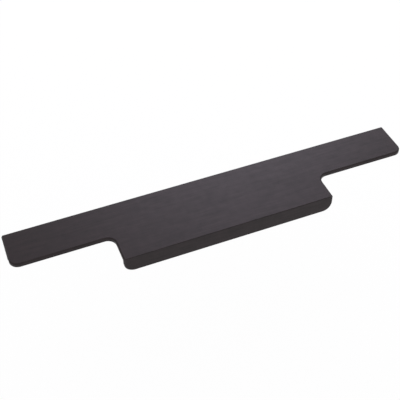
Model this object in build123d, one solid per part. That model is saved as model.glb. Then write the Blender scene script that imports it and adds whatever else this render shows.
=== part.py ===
from build123d import *
import os

# Edge pull for a sliding cupboard door, one length of black anodised aluminium extrusion.
# The plate lies over the door's edge, the flange is screwed to the door's back and the lip
# in the middle is the finger grip. The front of the plate is milled back at both ends.
# Millimetres. X runs along the handle, the room is towards -Y and Z is up.
# The origin is the middle of the screw line, on the face of the flange that meets the door.

# Extruded section
length = 200.0
wall = 2.0
board_thickness = 18.0
finger_gap = 13.6
lip_height = 9.1
flange_height = 15.0
fold_radius = 0.3
inner_fold_radius = 0.3

# Milled outline
grip_width = 104.7
wing_corner_radius = 4.4
step_fillet_radius = 4.4
lip_corner_radius = 5.0
edge_bevel = 0.6
cutter_overrun = 5.0

# Two screws through the flange into the back of the door
screw_spacing = 160.0
screw_drop = 6.5
screw_hole_diameter = 4.0
screw_head_diameter = 7.0
countersink_angle = 90.0

# Places that follow from the sizes above
underside = screw_drop
top = underside + wall
flange_back = wall
flange_foot = top - flange_height
wing_front = -board_thickness
lip_back = wing_front - finger_gap
lip_front = lip_back - wall
lip_foot = top - lip_height
gap_middle = (wing_front + lip_back) / 2


def corner(sketch, x, y):
    """Vertex of a sketch at one corner of its outline."""
    return sketch.vertices().sort_by_distance((x, y, 0))[0]


def extrusion():
    """Flange, plate and lip as one bar of the full length, with its folds rounded."""
    outline = Polyline(
        (flange_back, flange_foot),
        (flange_back, top),
        (lip_front, top),
        (lip_front, lip_foot),
        (lip_back, lip_foot),
        (lip_back, underside),
        (0, underside),
        (0, flange_foot),
        close=True,
    )
    section = make_face(outline)
    section = fillet([corner(section, flange_back, top), corner(section, lip_front, top)], fold_radius)
    section = fillet([corner(section, 0, underside), corner(section, lip_back, underside)], inner_fold_radius)
    return extrude(Plane.YZ * section, amount=length / 2, both=True)


def bevelled_block(view, outline, depth):
    """What one view's outline leaves, with the bevel round the face that lies on the view's plane."""
    block = extrude(view * outline, amount=-depth)
    face = block.faces().sort_by(Axis(view.origin, view.z_dir))[-1]
    return chamfer(face.edges(), edge_bevel)


def outline_from_above():
    """Stepped plan: full depth at the grip, milled back to the board's front at both wings."""
    end = length / 2
    side = grip_width / 2
    back = flange_back + cutter_overrun
    front = lip_front - cutter_overrun
    outline = Polyline(
        (-end, back),
        (-end, wing_front),
        (-side, wing_front),
        (-side, front),
        (side, front),
        (side, wing_front),
        (end, wing_front),
        (end, back),
        close=True,
    )
    plan = make_face(outline)
    plan = fillet([corner(plan, -end, wing_front), corner(plan, end, wing_front)], wing_corner_radius)
    plan = fillet([corner(plan, -side, wing_front), corner(plan, side, wing_front)], step_fillet_radius)
    depth = max(flange_height, lip_height) + cutter_overrun
    return bevelled_block(Plane.XY.offset(top), plan, depth)


def outline_from_front():
    """The lip's outline, with its lower corners rounded."""
    face = Plane(origin=(0, lip_front, top), x_dir=(1, 0, 0), z_dir=(0, -1, 0))
    height = lip_height + cutter_overrun
    lip = Pos(0, cutter_overrun - height / 2) * Rectangle(grip_width, height)
    lip = fillet(lip.vertices().group_by(Axis.Y)[0], lip_corner_radius)
    return bevelled_block(face, lip, gap_middle - lip_front)


def outline_from_back():
    """The flange's outline."""
    face = Plane(origin=(0, flange_back, top), x_dir=(-1, 0, 0), z_dir=(0, 1, 0))
    height = flange_height + cutter_overrun
    flange = Pos(0, cutter_overrun - height / 2) * Rectangle(length, height)
    return bevelled_block(face, flange, flange_back - gap_middle)


def screw_hole(x):
    """Countersunk hole that runs from the back of the flange towards the door."""
    mouth = Plane(origin=(x, flange_back, 0), x_dir=(1, 0, 0), z_dir=(0, 1, 0))
    return mouth * CounterSinkHole(
        radius=screw_hole_diameter / 2,
        counter_sink_radius=screw_head_diameter / 2,
        depth=wall + cutter_overrun,
        counter_sink_angle=countersink_angle,
    )


def handle():
    """The whole handle: one extrusion, milled from above, from the front and from the back, and drilled."""
    body = extrusion() & outline_from_above()
    body = body & (outline_from_front() + outline_from_back())
    for x in (-screw_spacing / 2, screw_spacing / 2):
        body -= screw_hole(x)
    return body


os.makedirs("parts", exist_ok=True)
part = handle()
print("handle", part.is_valid, round(part.volume, 1), part.bounding_box())
export_step(part, "parts/handle.step")
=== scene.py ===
import math

import bpy
from mathutils import Euler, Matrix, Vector

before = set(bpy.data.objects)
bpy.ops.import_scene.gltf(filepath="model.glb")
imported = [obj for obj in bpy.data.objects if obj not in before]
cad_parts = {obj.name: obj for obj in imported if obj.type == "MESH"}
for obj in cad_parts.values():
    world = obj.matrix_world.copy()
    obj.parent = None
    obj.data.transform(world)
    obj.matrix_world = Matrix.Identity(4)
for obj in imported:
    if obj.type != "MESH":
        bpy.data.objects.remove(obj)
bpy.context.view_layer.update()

# Handle: one length of aluminium extrusion, milled to its stepped outline and anodised black.
# The skin is brushed along the bar before it is dyed, so it has a fine lengthwise grain with a
# satin sheen. The screws pass through its rear flange into the door.
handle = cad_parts["handle"]
anodised = bpy.data.materials.new("black_anodised_aluminium")
anodised.use_nodes = True
nodes = anodised.node_tree.nodes
links = anodised.node_tree.links
skin = nodes["Principled BSDF"]
skin.inputs["IOR"].default_value = 1.5
skin.inputs["Specular IOR Level"].default_value = 0.222
place = nodes.new("ShaderNodeTexCoord")


def marks(length, width, detail, roughness):
    """Noise whose marks have this length along the bar and this width across it, in metres."""
    stretch = nodes.new("ShaderNodeMapping")
    stretch.inputs["Scale"].default_value = (1 / length, 1 / width, 1 / width)
    links.new(place.outputs["Object"], stretch.inputs["Vector"])
    noise = nodes.new("ShaderNodeTexNoise")
    noise.inputs["Scale"].default_value = 1.0
    noise.inputs["Detail"].default_value = detail
    noise.inputs["Roughness"].default_value = roughness
    links.new(stretch.outputs["Vector"], noise.inputs["Vector"])
    return noise.outputs["Fac"]


def mix_marks(first, second, share):
    """Two kinds of marks together, with this share of the second."""
    mix = nodes.new("ShaderNodeMix")
    mix.data_type = "FLOAT"
    mix.inputs["Factor"].default_value = share
    links.new(first, mix.inputs["A"])
    links.new(second, mix.inputs["B"])
    return mix.outputs["Result"]


# Grain: hairlines from the brush, wider streaks from the drawing die, and soft clouds where the
# dye took a little unevenly. From faint to strong, the skin gets paler and glossier.
hairlines = marks(length=0.020, width=0.0004, detail=3.0, roughness=0.6)
streaks = marks(length=0.0125, width=0.0013, detail=2.0, roughness=0.5)
clouds = marks(length=0.004, width=0.004, detail=3.0, roughness=0.5)
die_and_dye = mix_marks(streaks, clouds, share=0.5)
grain = mix_marks(die_and_dye, hairlines, share=0.3)
faint, strong = 0.35, 0.65

dye = nodes.new("ShaderNodeValToRGB")
deep_black, worn_black = dye.color_ramp.elements
deep_black.position = faint
deep_black.color = (0.0079, 0.0044, 0.0053, 1)
worn_black.position = strong
worn_black.color = (0.0182, 0.0105, 0.0123, 1)
links.new(grain, dye.inputs["Fac"])
links.new(dye.outputs["Color"], skin.inputs["Base Color"])

satin, glossier = 0.48, 0.39
sheen = nodes.new("ShaderNodeMapRange")
sheen.inputs["From Min"].default_value = faint
sheen.inputs["From Max"].default_value = strong
sheen.inputs["To Min"].default_value = satin
sheen.inputs["To Max"].default_value = glossier
links.new(grain, sheen.inputs["Value"])
links.new(sheen.outputs["Result"], skin.inputs["Roughness"])

brush_depth = 0.00002
bump = nodes.new("ShaderNodeBump")
bump.inputs["Strength"].default_value = 0.25
bump.inputs["Distance"].default_value = brush_depth
links.new(hairlines, bump.inputs["Height"])
links.new(bump.outputs["Normal"], skin.inputs["Normal"])

for slot in handle.material_slots:
    slot.material = anodised

# Floor: a plain white studio sweep, well below the handle, which hangs free as if on its door.
# It shows as white to the eye and in reflections, still keeps a soft shadow of the handle, and
# is clear from below.
floor_width = 12
floor_level = -0.08
bpy.ops.object.select_all(action="DESELECT")
bpy.ops.mesh.primitive_plane_add(size=floor_width, location=(0, 0, floor_level))
floor = bpy.context.active_object
floor.name = "floor"
paper = bpy.data.materials.new("white_paper")
paper.use_nodes = True
nodes = paper.node_tree.nodes
links = paper.node_tree.links
matt = nodes["Principled BSDF"]
matt.inputs["Base Color"].default_value = (0.95, 0.95, 0.95, 1)
matt.inputs["Roughness"].default_value = 1.0
matt.inputs["Specular IOR Level"].default_value = 0.0
glow = nodes.new("ShaderNodeEmission")
glow.inputs["Strength"].default_value = 1.0


def seen_by_eye(tree):
    """Mask that is 1 for what the eye meets: straight on, in a reflection or through glass."""
    path = tree.nodes.new("ShaderNodeLightPath")
    mask = path.outputs["Is Camera Ray"]
    for ray in ("Is Glossy Ray", "Is Transmission Ray"):
        either = tree.nodes.new("ShaderNodeMath")
        either.operation = "MAXIMUM"
        tree.links.new(mask, either.inputs[0])
        tree.links.new(path.outputs[ray], either.inputs[1])
        mask = either.outputs["Value"]
    return mask


glow_for_eye = 0.93
whiteness = nodes.new("ShaderNodeMath")
whiteness.operation = "MULTIPLY"
whiteness.inputs[1].default_value = glow_for_eye
links.new(seen_by_eye(paper.node_tree), whiteness.inputs[0])
white = nodes.new("ShaderNodeMixShader")
links.new(whiteness.outputs["Value"], white.inputs["Fac"])
links.new(matt.outputs["BSDF"], white.inputs[1])
links.new(glow.outputs["Emission"], white.inputs[2])
side = nodes.new("ShaderNodeNewGeometry")
clear = nodes.new("ShaderNodeBsdfTransparent")
one_sided = nodes.new("ShaderNodeMixShader")
links.new(side.outputs["Backfacing"], one_sided.inputs["Fac"])
links.new(white.outputs["Shader"], one_sided.inputs[1])
links.new(clear.outputs["BSDF"], one_sided.inputs[2])
links.new(one_sided.outputs["Shader"], nodes["Material Output"].inputs["Surface"])
floor.data.materials.append(paper)

# Studio light: soft even light from all round, as in a white room. The eye and reflections see
# plain white, and a little less of it falls on the handle.
light_on_handle, white_for_eye = 0.8, 1.0
world = bpy.data.worlds.new("studio")
world.use_nodes = True
bpy.context.scene.world = world
nodes = world.node_tree.nodes
links = world.node_tree.links
strength = nodes.new("ShaderNodeMapRange")
strength.inputs["To Min"].default_value = light_on_handle
strength.inputs["To Max"].default_value = white_for_eye
links.new(seen_by_eye(world.node_tree), strength.inputs["Value"])
nodes["Background"].inputs["Color"].default_value = (1, 1, 1, 1)
links.new(strength.outputs["Result"], nodes["Background"].inputs["Strength"])

# Softboxes: the rear one is a tall panel low behind the handle and to its right, whose sheen on
# the plate fades towards the left end. The front one is weak and picks out the bevels.
softbox_distance = 1.2


def softbox(name, turn, rise, width, height, watts, colour):
    """Panel facing the handle, turned right from behind it and raised, both in degrees."""
    light = bpy.data.lights.new(name, "AREA")
    light.shape = "RECTANGLE"
    light.size = width
    light.size_y = height
    light.energy = watts
    light.color = colour
    panel = bpy.data.objects.new(name, light)
    bpy.context.scene.collection.objects.link(panel)
    away = Vector((0, softbox_distance, 0))
    away.rotate(Euler((math.radians(rise), 0, math.radians(-turn))))
    panel.location = away
    panel.rotation_euler = away.to_track_quat("Z", "Y").to_euler()
    panel.visible_camera = False


softbox(
    "rear_softbox",
    turn=23.7,
    rise=22.4,
    width=0.50,
    height=0.99,
    watts=7.7,
    colour=(0.90, 0.83, 1.0),
)
softbox(
    "front_softbox",
    turn=160,
    rise=41,
    width=0.80,
    height=0.80,
    watts=0.96,
    colour=(1, 1, 1),
)

# Camera: at the photograph's viewing angle, above and in front of the left end, with a lens
# whose frame the handle just fills.
lens = bpy.data.cameras.new("camera")
lens.sensor_width = 36
lens.lens = 72.960
camera = bpy.data.objects.new("camera", lens)
bpy.context.scene.collection.objects.link(camera)
camera.location = (-0.103896, -0.265565, 0.281784)
camera.rotation_euler = (math.radians(44.8273), math.radians(0.8780), math.radians(-21.7136))
bpy.context.scene.camera = camera

bpy.context.scene.view_settings.view_transform = "Standard"
